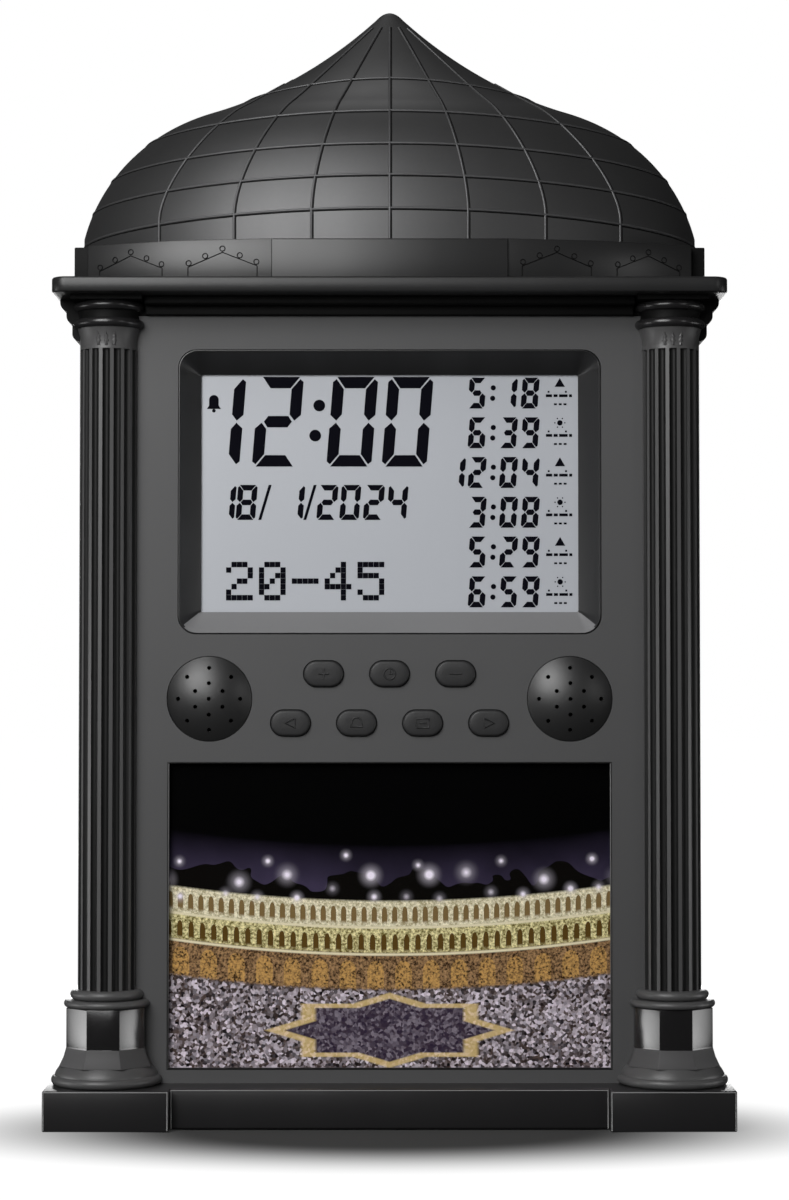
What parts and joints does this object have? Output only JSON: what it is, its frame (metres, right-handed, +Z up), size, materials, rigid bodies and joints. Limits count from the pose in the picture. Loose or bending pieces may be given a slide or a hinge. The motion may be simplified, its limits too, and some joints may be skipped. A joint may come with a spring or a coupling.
{
  "type": "prayer clock",
  "caption": "Mosque-shaped table and wall prayer clock: ribbed dome, fluted half columns, grey display with times, keys, round grilles and a picture window on a stepped plinth.",
  "frame": {"origin": "middle of the plinth's underside, on the bounding box's vertical centre line", "axes": "+Z up, the front with the display and picture faces -Y, +X is the viewer's right"},
  "size_m": [0.1818, 0.062, 0.309],
  "materials": {
    "case_grey": "moulded charcoal plastic with a metallic grey coat, satin",
    "trim_dark": "moulded near-black plastic, semi-gloss",
    "dome_coat": "smooth grey metallic coat on plastic, semi-gloss",
    "drum_grey": "smooth grey metallic coat on plastic, satin",
    "grille_black": "dark grey moulded plastic",
    "key_grey": "moulded plastic, satin",
    "rear_black": "fine-grained black plastic",
    "display_cell": "grey reflective liquid crystal cell with black segments",
    "reflector_white": "white",
    "rubber_dark": "matt silicone rubber",
    "board_green": "green solder mask",
    "chip_black": "black epoxy",
    "cable_white": "flat ribbon film",
    "steel": "zinc-plated steel",
    "speaker_metal": "pressed steel, grey",
    "cone_paper": "black pressed paper",
    "window_clear": "clear acrylic sheet",
    "card_print": "printed card, satin",
    "backing_white": "white polystyrene",
    "cell_label": "plain printed sleeve",
    "contact_nickel": "nickel-plated spring steel"
  },
  "bodies": {
    "clock": {"front_housing": "case_grey", "lcd_bezel": "case_grey", "column_left": "trim_dark", "column_right": "trim_dark", "plinth": "trim_dark", "cornice": "trim_dark", "dome_shell": "dome_coat", "dome_drum": "drum_grey", "drum_plaque": "drum_grey", "grille_left": "grille_black", "grille_right": "grille_black", "dome_frame": "grille_black", "rear_cover": "rear_black", "base_plate": "rear_black", "power_socket": "rear_black", "lcd_glass": "display_cell", "lcd_reflector": "reflector_white", "lcd_connectors": "rubber_dark", "key_mat": "rubber_dark", "main_board": "board_green", "key_board": "board_green", "main_board_parts": "chip_black", "board_ribbon": "cable_white", "cover_screws": "steel", "tie_screws": "steel", "plinth_screws": "steel", "column_screws": "steel", "inner_screws": "steel", "volume_switch": "steel", "speaker_frames": "speaker_metal", "speaker_magnets": "speaker_metal", "speaker_retainers": "speaker_metal", "speaker_cones": "cone_paper", "picture_window": "window_clear", "picture_card": "card_print", "picture_backing": "backing_white", "batteries": "cell_label", "battery_springs": "contact_nickel", "battery_contacts": "contact_nickel", "socket_pin": "contact_nickel"},
    "key_1_body": {"key_1": "key_grey"},
    "key_2_body": {"key_2": "key_grey"},
    "key_3_body": {"key_3": "key_grey"},
    "key_4_body": {"key_4": "key_grey"},
    "key_5_body": {"key_5": "key_grey"},
    "key_6_body": {"key_6": "key_grey"},
    "key_7_body": {"key_7": "key_grey"},
    "battery_door_body": {"battery_door": "rear_black"},
    "volume_slider_body": {"volume_slider": "rear_black"}
  },
  "joints": [
    {"name": "key_1_press", "type": "slide", "parent": "clock", "child": "key_1_body", "axis": [0, 1, 0], "range_m": [0, 0.001], "stiffness_N_per_m": 300, "springref_m": -0.0005},
    {"name": "key_2_press", "type": "slide", "parent": "clock", "child": "key_2_body", "axis": [0, 1, 0], "range_m": [0, 0.001], "stiffness_N_per_m": 300, "springref_m": -0.0005},
    {"name": "key_3_press", "type": "slide", "parent": "clock", "child": "key_3_body", "axis": [0, 1, 0], "range_m": [0, 0.001], "stiffness_N_per_m": 300, "springref_m": -0.0005},
    {"name": "key_4_press", "type": "slide", "parent": "clock", "child": "key_4_body", "axis": [0, 1, 0], "range_m": [0, 0.001], "stiffness_N_per_m": 300, "springref_m": -0.0005},
    {"name": "key_5_press", "type": "slide", "parent": "clock", "child": "key_5_body", "axis": [0, 1, 0], "range_m": [0, 0.001], "stiffness_N_per_m": 300, "springref_m": -0.0005},
    {"name": "key_6_press", "type": "slide", "parent": "clock", "child": "key_6_body", "axis": [0, 1, 0], "range_m": [0, 0.001], "stiffness_N_per_m": 300, "springref_m": -0.0005},
    {"name": "key_7_press", "type": "slide", "parent": "clock", "child": "key_7_body", "axis": [0, 1, 0], "range_m": [0, 0.001], "stiffness_N_per_m": 300, "springref_m": -0.0005},
    {"name": "battery_door_hinge", "type": "hinge", "parent": "clock", "child": "battery_door_body", "pos_m": [0, 0.0299, 0.0312], "axis": [-1, 0, 0], "range_deg": [0, 90]},
    {"name": "volume_slide", "type": "slide", "parent": "clock", "child": "volume_slider_body", "axis": [1, 0, 0], "range_m": [-0.0025, 0.0025]}
  ]
}
